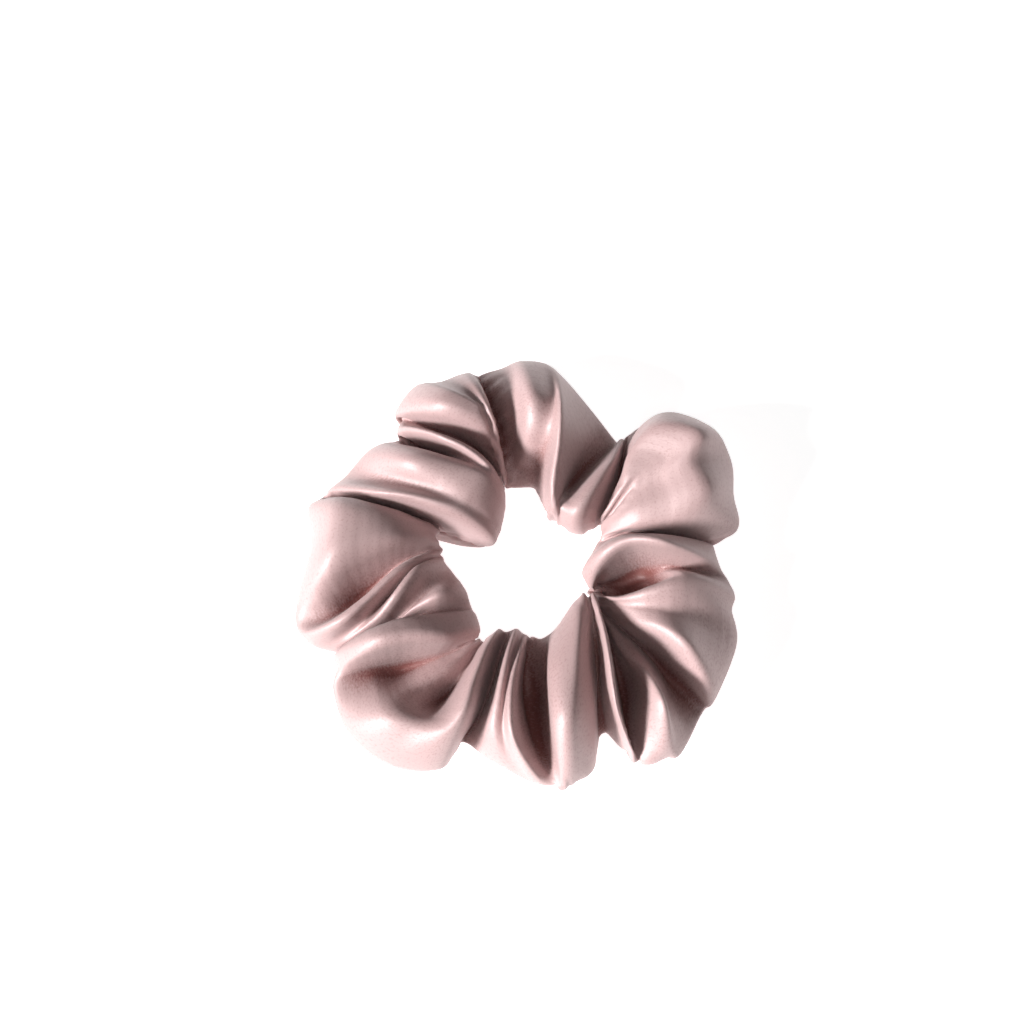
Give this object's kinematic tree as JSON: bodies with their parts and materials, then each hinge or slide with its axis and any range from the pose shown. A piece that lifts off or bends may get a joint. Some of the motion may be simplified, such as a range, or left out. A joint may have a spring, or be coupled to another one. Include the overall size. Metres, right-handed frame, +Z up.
{
  "type": "scrunchie",
  "caption": "Satin hair scrunchie: a wide tube of satin gathered on a narrow flat elastic loop, lying flat in a ring of soft puffs.",
  "frame": {"origin": "middle of the footprint, on the surface that the scrunchie lies on", "axes": "+Z up, along the axis of the hair hole; +X is the way the right side is pulled to stretch it"},
  "size_m": [0.1108, 0.1114, 0.03],
  "materials": {
    "satin": "dusty rose satin, glossy along its folds",
    "elastic": "white braided elastic",
    "seam_thread": "dusty rose sewing thread",
    "elastic_thread": "white sewing thread"
  },
  "bodies": {
    "left_side": {"satin_gather_4": "satin", "satin_gather_5": "satin", "elastic_band": "elastic", "elastic_join_stitches": "elastic_thread", "long_seam_thread": "seam_thread"},
    "right_side": {"satin_gather_1": "satin", "satin_gather_8": "satin", "satin_gather_9": "satin"},
    "upper_gather": {"satin_gather_2": "satin", "closing_seam_thread": "seam_thread"},
    "upper_left_gather": {"satin_gather_3": "satin"},
    "lower_left_gather": {"satin_gather_6": "satin"},
    "lower_gather": {"satin_gather_7": "satin"}
  },
  "joints": [
    {"name": "stretch", "type": "slide", "parent": "left_side", "child": "right_side", "axis": [1, 0, 0], "range_m": [0, 0.09], "stiffness_N_per_m": 40, "deforming": ["elastic_band", "elastic_join_stitches", "long_seam_thread"]},
    {"name": "upper_gather_follow", "type": "slide", "parent": "left_side", "child": "upper_gather", "axis": [1, 0, 0], "range_m": [0, 0.055]},
    {"name": "upper_left_gather_follow", "type": "slide", "parent": "left_side", "child": "upper_left_gather", "axis": [1, 0, 0], "range_m": [0, 0.022]},
    {"name": "lower_left_gather_follow", "type": "slide", "parent": "left_side", "child": "lower_left_gather", "axis": [1, 0, 0], "range_m": [0, 0.018]},
    {"name": "lower_gather_follow", "type": "slide", "parent": "left_side", "child": "lower_gather", "axis": [1, 0, 0], "range_m": [0, 0.05]}
  ],
  "couplings": [
    {"joint": "upper_gather_follow", "follows": "stretch", "ratio": 0.6},
    {"joint": "upper_left_gather_follow", "follows": "stretch", "ratio": 0.23},
    {"joint": "lower_left_gather_follow", "follows": "stretch", "ratio": 0.19},
    {"joint": "lower_gather_follow", "follows": "stretch", "ratio": 0.545}
  ]
}
